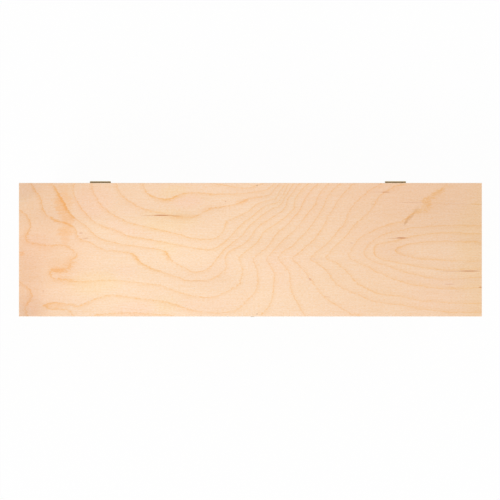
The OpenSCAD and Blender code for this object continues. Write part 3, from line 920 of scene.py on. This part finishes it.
def veneered_lid(material):
    """The lid's panel, fine enough on top to carry the growth levels of its veneer."""
    ease, rounds = 0.5 * MM, 4  # radius of the upper rim, and its number of facets
    cell = 1 * MM
    hole_depth = 2 * MM
    low, high = (Vector(corner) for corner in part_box("lid_panel"))
    middle, size = (low + high) / 2, high - low
    flat_x, flat_y = size.x - 2 * ease, size.y - 2 * ease
    bm = bmesh.new()
    bmesh.ops.create_grid(bm, x_segments=round(flat_x / cell),
                          y_segments=round(flat_y / cell), size=0.5)
    bmesh.ops.scale(bm, vec=(flat_x, flat_y, 1), verts=bm.verts)
    bmesh.ops.translate(bm, vec=(middle.x, middle.y, high.z), verts=bm.verts)

    turns = [math.pi / 2 * k / rounds for k in range(1, rounds + 1)]
    profile = [(ease * (1 - math.sin(turn)), ease * (1 - math.cos(turn))) for turn in turns]
    profile.append((0.0, size.z))
    rim = [edge for edge in bm.edges if edge.is_boundary]
    inset, drop = ease, 0.0
    for next_inset, next_drop in profile:
        made = bmesh.ops.extrude_edge_only(bm, edges=rim)
        rim = new_edges(made)
        for vert in new_verts(made):
            for axis in (0, 1):
                side = vert.co[axis] - middle[axis]
                if abs(abs(side) - (size[axis] / 2 - inset)) < SAME_PLACE:
                    vert.co[axis] += math.copysign(inset - next_inset, side)
            vert.co.z -= next_drop - drop
        inset, drop = next_inset, next_drop
    bmesh.ops.contextual_create(bm, geom=rim)
    brad_low, brad_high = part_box("lid_brads")
    head = (brad_high.x - brad_low.x) / 2
    for y in (brad_low.y + head, brad_high.y - head):
        brad_hole(bm, Vector((brad_low.x + head, y, high.z)), head, hole_depth)
    bmesh.ops.recalc_face_normals(bm, faces=bm.faces)
    for face in bm.faces:
        face.smooth = 0.02 < abs(face.normal.z) < 0.999  # only the rounded rim

    piece = piece_from(bm, "lid_panel_veneered", material, "lid", "lid_panel")
    mesh = piece.data
    places = np.empty(len(mesh.vertices) * 3)
    mesh.vertices.foreach_get("co", places)
    flat = places.reshape(-1, 3)[:, :2] / MM
    figure = np.zeros((len(flat), 3))
    block = 8000  # places worked out at a time, to save memory
    for first in range(0, len(flat), block):
        part = slice(first, first + block)
        figure[part, 0], figure[part, 1] = growth_levels(flat[part])
    layer = mesh.attributes.new("growth", "FLOAT_VECTOR", "POINT")
    layer.data.foreach_set("vector", figure.ravel())
    return piece


def repaint(material, *nodes):
    """Gives CAD nodes a finished material."""
    for node in nodes:
        mesh = frame["nodes"][node].data
        mesh.materials.clear()
        mesh.materials.append(material)


# ---- Operators, one for each piece or group ----

class WINEBOX_OT_lid_panel(bpy.types.Operator):
    """Veneers the lid's plywood panel"""

    bl_idname = "winebox.lid_panel"
    bl_label = "Lid panel"

    def execute(self, context):
        look = context.scene.wine_box_wood
        low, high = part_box("lid_panel")
        veneered_lid(plywood("lid_plywood", look, low.z / MM, high.z / MM, seed=20.0,
                             figured=True))
        return {"FINISHED"}


class WINEBOX_OT_base_panel(bpy.types.Operator):
    """Finishes the base's plywood panel"""

    bl_idname = "winebox.base_panel"
    bl_label = "Base panel"

    def execute(self, context):
        look = context.scene.wine_box_wood
        low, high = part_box("base_panel")
        repaint(plywood("base_plywood", look, low.z / MM, high.z / MM, seed=40.0),
                "base_panel")
        return {"FINISHED"}


class WINEBOX_OT_boards(bpy.types.Operator):
    """Eases and grains the walls of the base and the rails of the lid"""

    bl_idname = "winebox.boards"
    bl_label = "Walls and rails"

    def execute(self, context):
        look = context.scene.wine_box_wood
        ease, shortest = 0.2 * MM, 4 * MM
        boards = (
            ("front", "X", (-118.0, 20.0), 1.0),
            ("back", "X", (96.0, 118.0), 12.0),
            ("left", "Y", (-250.0, 60.0), 23.0),
            ("right", "Y", (236.0, -10.0), 34.0),
        )
        for side, grain, pith, seed in boards:
            wood = board_wood("board_" + side, look, grain, pith, seed)
            for body, node in (("base", "base_" + side + "_wall"),
                               ("lid", "lid_" + side + "_rail")):
                eased_copy(node, wood, body, ease, shortest)
        return {"FINISHED"}


class WINEBOX_OT_brass(bpy.types.Operator):
    """Finishes the hinges, the clasp and their screws"""

    bl_idname = "winebox.brass"
    bl_label = "Hinges and clasp"

    def execute(self, context):
        look = context.scene.wine_box_metal
        ease = 0.07 * MM
        low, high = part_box("hinge_left_pin")
        axis_y = (low.y + high.y) / 2 / MM
        brass = antique_brass("antique_brass", look, axis_y)
        screw_brass = antique_brass("screw_brass", look, axis_y, screws=True)
        for body, nodes in frame["record"]["behaviour"]["bodies"].items():
            for node in nodes:
                if node.startswith(("hinge_", "clasp_")):
                    metal = screw_brass if node.endswith("_screws") else brass
                    eased_copy(node, metal, body, ease)
        return {"FINISHED"}


class WINEBOX_OT_brads(bpy.types.Operator):
    """Finishes the brads of both panels"""

    bl_idname = "winebox.brads"
    bl_label = "Brads"

    def execute(self, context):
        repaint(brad_steel(context.scene.wine_box_metal), "lid_brads", "base_brads")
        return {"FINISHED"}


# ---- Stage ----

WHITE = (1, 1, 1, 1)
KEY_PLACE = (-1.3, -1.5, 2.1)  # metres from the middle of the box's underside
FILL_PLACE = (1.6, 1.2, 1.6)
LAMP_SIZE = 1.4
FLOOR_HALF = 3.0  # half the floor's width
FLOOR_GAP = 0.2 * MM
PICTURE_MIDDLE = (-0.3 * MM, -0.2 * MM)  # place on the lid in the middle of the picture


def seen_rays(s):
    """1 for rays from the camera, a reflection or a see-through surface."""
    path = s.node("LightPath").socket.node
    camera, glossy, clear = (Value(s, path.outputs[name]) for name in (
        "Is Camera Ray", "Is Glossy Ray", "Is Transmission Ray"))
    return (camera + glossy + clear).at_most(1.0)


def pale_floor():
    """A white floor that keeps a faint shadow of the box.

    It is clear from below and to rays that start just above it, so that daylight reaches the
    underside of the box.
    """
    white_share = 0.955  # the rest is lit, and takes the shadow
    clear_length = 1.5 * MM
    s = new_material("stage_floor")
    s.feed(s.last, {"Base Color": (0.86, 0.86, 0.86, 1), "Roughness": 0.9,
                    "Specular IOR Level": 0.0})
    lit = Value(s, s.last.outputs[0])
    glow = s.node("Emission", {"Color": WHITE, "Strength": 1.0})
    shown = s.node("MixShader", {0: seen_rays(s) * white_share, 1: lit, 2: glow})
    below = s.node("NewGeometry", out="Backfacing")
    length = s.node("LightPath", out="Ray Length")
    near = length.step("LESS_THAN", length, clear_length)
    clear = s.node("BsdfTransparent")
    both = s.node("MixShader", {0: below.or_more(near), 1: shown, 2: clear})
    s.feed(s.tree.nodes["Material Output"], {"Surface": both})
    return s.owner


def soft_lamp(name, place, target, power):
    """A large square lamp that faces the target."""
    data = bpy.data.lights.new(name, "AREA")
    data.energy = power
    data.shape = "SQUARE"
    data.size = LAMP_SIZE
    lamp = bpy.data.objects.new(name, data)
    lamp.location = place
    lamp.rotation_euler = (Vector(target) - Vector(place)).to_track_quat("-Z", "Y").to_euler()
    bpy.context.scene.collection.objects.link(lamp)


class WINEBOX_OT_stage(bpy.types.Operator):
    """Sets the floor, the lamps, the sky and the camera"""

    bl_idname = "winebox.stage"
    bl_label = "Stage"

    def execute(self, context):
        look = context.scene.wine_box_stage
        scene = context.scene
        low, high = (Vector(corner) for corner in CAD_BOX)

        bm = bmesh.new()
        bmesh.ops.create_grid(bm, x_segments=1, y_segments=1, size=FLOOR_HALF)
        mesh = bpy.data.meshes.new("stage_floor")
        bm.to_mesh(mesh)
        bm.free()
        mesh.materials.append(pale_floor())
        floor = bpy.data.objects.new("stage_floor", mesh)
        floor.location.z = low.z - FLOOR_GAP
        scene.collection.objects.link(floor)

        target = (0, 0, high.z / 2)
        soft_lamp("key_lamp", KEY_PLACE, target, look.key)
        soft_lamp("fill_lamp", FILL_PLACE, target, look.fill)

        scene.world = bpy.data.worlds.new("studio")
        sky = Shader(scene.world, "Background")
        sky.feed(sky.last, {"Color": WHITE, "Strength": seen_rays(sky).or_more(look.dome)})

        data = bpy.data.cameras.new("camera")
        camera = bpy.data.objects.new("camera", data)
        scene.collection.objects.link(camera)
        camera.location = (look.axis_x, look.axis_y, high.z + look.distance)
        data.sensor_fit = "HORIZONTAL"
        data.sensor_width = 36
        data.lens = data.sensor_width * look.distance / look.view_width
        data.shift_x = (PICTURE_MIDDLE[0] - look.axis_x) / look.view_width
        data.shift_y = (PICTURE_MIDDLE[1] - look.axis_y) / look.view_width
        data.clip_start, data.clip_end = 0.01, 20
        scene.camera = camera
        scene.view_settings.view_transform = "Standard"
        return {"FINISHED"}


STEPS = ("lid_panel", "base_panel", "boards", "brass", "brads", "stage")


class WINEBOX_PT_panel(bpy.types.Panel):
    """Lists the pieces and their looks"""

    bl_idname = "WINEBOX_PT_panel"
    bl_label = "Wooden wine box"
    bl_space_type = "VIEW_3D"
    bl_region_type = "UI"
    bl_category = "Wine box"

    def draw(self, context):
        for step in STEPS:
            self.layout.operator("winebox." + step)
        for group in ("wine_box_wood", "wine_box_metal", "wine_box_stage"):
            look = getattr(context.scene, group)
            column = self.layout.box().column()
            for name in look.__annotations__:
                column.prop(look, name)


CLASSES = (
    WineBoxWood, WineBoxMetal, WineBoxStage,
    WINEBOX_OT_lid_panel, WINEBOX_OT_base_panel, WINEBOX_OT_boards, WINEBOX_OT_brass,
    WINEBOX_OT_brads, WINEBOX_OT_stage, WINEBOX_PT_panel,
)


def register():
    """Adds the classes, and the scene's three groups of settings."""
    for cls in CLASSES:
        bpy.utils.register_class(cls)
    bpy.types.Scene.wine_box_wood = PointerProperty(type=WineBoxWood)
    bpy.types.Scene.wine_box_metal = PointerProperty(type=WineBoxMetal)
    bpy.types.Scene.wine_box_stage = PointerProperty(type=WineBoxStage)


def unregister():
    """Takes them away again."""
    del bpy.types.Scene.wine_box_stage
    del bpy.types.Scene.wine_box_metal
    del bpy.types.Scene.wine_box_wood
    for cls in reversed(CLASSES):
        bpy.utils.unregister_class(cls)


def main():
    """Makes every piece and the stage."""
    register()
    for step in STEPS:
        getattr(bpy.ops.winebox, step)()


if __name__ == "__main__":
    main()
